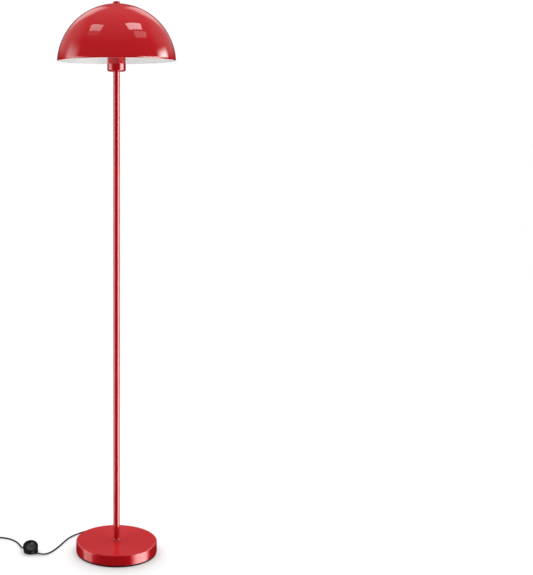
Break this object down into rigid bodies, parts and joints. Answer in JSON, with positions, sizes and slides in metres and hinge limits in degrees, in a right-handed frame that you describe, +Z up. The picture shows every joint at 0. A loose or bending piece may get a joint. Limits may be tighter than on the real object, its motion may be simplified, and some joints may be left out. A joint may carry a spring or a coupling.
{
  "type": "mushroom floor lamp",
  "caption": "Floor lamp with a domed mushroom shade on a slim straight pole, a round weighted foot, a socket cup under the shade and a corded foot switch with a plug",
  "frame": {"origin": "middle of the underside of the foot, on the floor, measured without the cord and what is on it", "axes": "+Z up along the pole; -Y is the front; the cord leaves the foot at the back, +Y, and its coil and plug lie at -X"},
  "size_m": [0.5242, 0.3014, 1.3706],
  "materials": {
    "red_paint": "gloss red powder coat",
    "cast_iron": "rough cast",
    "pad_rubber": "matte foam",
    "zinc_steel": "zinc plated",
    "black_rubber": "matte",
    "white_plastic": "satin",
    "nickel": "bright nickel plate",
    "brass": "plain",
    "lead_plastic": "insulated wire",
    "opal_plastic": "opal diffuser",
    "black_plastic": "satin moulded",
    "button_grey": "satin moulded",
    "cord_black": "satin extruded"
  },
  "bodies": {
    "lamp": {"base_cover": "red_paint", "base_weight": "cast_iron", "base_pad": "pad_rubber", "base_nipple": "zinc_steel", "base_washer": "zinc_steel", "base_nut": "zinc_steel", "cord_grommet": "black_rubber", "pole_lower": "red_paint", "pole_middle": "red_paint", "pole_upper": "red_paint", "pole_coupler_lower": "zinc_steel", "pole_coupler_upper": "zinc_steel", "pole_foot_plug": "zinc_steel", "pole_head_plug": "zinc_steel", "pole_collar": "red_paint", "socket_cup": "red_paint", "cup_nut": "zinc_steel", "head_nipple": "zinc_steel", "lampholder_cap": "white_plastic", "lampholder_shell": "white_plastic", "lampholder_core": "white_plastic", "lampholder_thread": "nickel", "centre_contact": "brass", "lampholder_terminals": "brass", "lampholder_leads": "lead_plastic", "lampholder_ring_lower": "white_plastic", "lampholder_ring_upper": "white_plastic", "shade": "red_paint", "shade_carrier": "zinc_steel", "shade_washer": "zinc_steel", "carrier_stud": "zinc_steel", "carrier_nut": "zinc_steel", "inner_cable": "cord_black", "switch_lid": "black_plastic", "switch_body": "black_plastic", "switch_spring": "nickel", "switch_contacts": "brass", "switch_frame": "black_plastic", "switch_screws": "zinc_steel", "switch_boots": "black_rubber", "switch_leads": "lead_plastic", "cord_to_switch": "cord_black", "cord_from_switch": "cord_black", "cord_coil": "cord_black", "cord_to_plug": "cord_black", "cord_tie": "black_plastic", "plug_body": "black_plastic", "plug_pins": "nickel"},
    "bulb": {"bulb_globe": "opal_plastic", "bulb_housing": "white_plastic", "bulb_led_board": "white_plastic", "bulb_cap": "nickel", "bulb_insulator": "black_plastic", "bulb_contact": "nickel"},
    "cap_nut": {"shade_cap_nut": "red_paint"},
    "button": {"switch_button": "button_grey"}
  },
  "joints": [
    {"name": "bulb_screw", "type": "hinge", "parent": "lamp", "child": "bulb", "pos_m": [0, 0, 1.29], "axis": [0, 0, 1], "continuous": true},
    {"name": "cap_nut_screw", "type": "hinge", "parent": "lamp", "child": "cap_nut", "pos_m": [0, 0, 1.368], "axis": [0, 0, 1], "continuous": true},
    {"name": "button_press", "type": "slide", "parent": "lamp", "child": "button", "axis": [0.0164, 0.4692, -0.8829], "range_m": [0, 0.002], "stiffness_N_per_m": 1500, "springref_m": -0.0015, "deforming": ["switch_spring"]}
  ]
}
